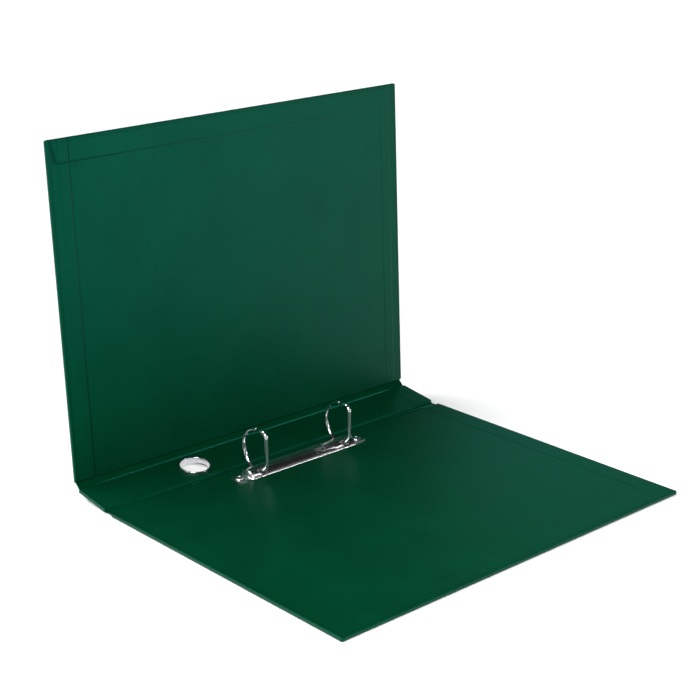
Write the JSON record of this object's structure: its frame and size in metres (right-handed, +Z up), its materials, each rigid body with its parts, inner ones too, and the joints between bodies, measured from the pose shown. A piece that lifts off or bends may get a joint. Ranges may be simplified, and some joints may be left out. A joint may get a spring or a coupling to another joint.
{
  "type": "ring binder",
  "caption": "Open board-covered ring binder with film creases, a D-ring mechanism that opens, a finger hole and a slide-in spine label.",
  "frame": {"origin": "middle of the open binder's box, on the ground under it", "axes": "+Z up, +Y along the spine from the bottom end to the top end, +X from the spine across the back cover"},
  "size_m": [0.2998, 0.318, 0.2598],
  "materials": {
    "film": "leather-grained, satin",
    "board": "grey board",
    "nickel": "nickel plated, bright",
    "pocket_film": "clear film",
    "card": "smooth white card"
  },
  "bodies": {
    "back_cover": {"back_cover_film": "film", "back_cover_board": "board", "back_cover_liner": "film", "mechanism_cover_plate": "nickel", "bottom_rivet": "nickel", "top_rivet": "nickel"},
    "back_hinge_strip": {"back_hinge_film": "film", "back_hinge_liner": "film"},
    "spine": {"spine_film": "film", "spine_board": "board", "spine_liner": "film", "finger_ring": "nickel", "finger_ring_washer": "nickel", "label_pocket": "pocket_film"},
    "front_hinge_strip": {"front_hinge_film": "film", "front_hinge_liner": "film"},
    "front_cover": {"front_cover_film": "film", "front_cover_board": "board", "front_cover_liner": "film"},
    "spine_side_rings": {"spine_side_blade": "nickel", "bottom_ring_curved_half": "nickel", "top_ring_curved_half": "nickel"},
    "page_side_rings": {"page_side_blade": "nickel", "bottom_ring_straight_half": "nickel", "top_ring_straight_half": "nickel"},
    "label": {"label_card": "card"}
  },
  "joints": [
    {"name": "back_cover_crease", "type": "hinge", "parent": "back_cover", "child": "back_hinge_strip", "pos_m": [-0.0981, 0, 0.00025], "axis": [0, 1, 0], "range_deg": [-4, 41]},
    {"name": "spine_back_crease", "type": "hinge", "parent": "back_hinge_strip", "child": "spine", "pos_m": [-0.10648, 0, 0.00084], "axis": [0, 1, 0], "range_deg": [-4, 41]},
    {"name": "spine_front_crease", "type": "hinge", "parent": "spine", "child": "front_hinge_strip", "pos_m": [-0.13975, 0, 0.00551], "axis": [0, 1, 0], "range_deg": [-40.5, 4.5]},
    {"name": "front_cover_crease", "type": "hinge", "parent": "front_hinge_strip", "child": "front_cover", "pos_m": [-0.14532, 0, 0.0118], "axis": [0, 1, 0], "range_deg": [-40.5, 4.5]},
    {"name": "spine_side_rings_hinge", "type": "hinge", "parent": "back_cover", "child": "spine_side_rings", "pos_m": [-0.091, 0, 0.004], "axis": [0, 1, 0], "range_deg": [-14, 0]},
    {"name": "page_side_rings_hinge", "type": "hinge", "parent": "back_cover", "child": "page_side_rings", "pos_m": [-0.0774, 0, 0.004], "axis": [0, 1, 0], "range_deg": [0, 14]},
    {"name": "label_slide", "type": "slide", "parent": "spine", "child": "label", "axis": [0, 1, 0], "range_m": [0, 0.1]}
  ],
  "couplings": [
    {"joint": "page_side_rings_hinge", "follows": "spine_side_rings_hinge", "ratio": -1}
  ]
}
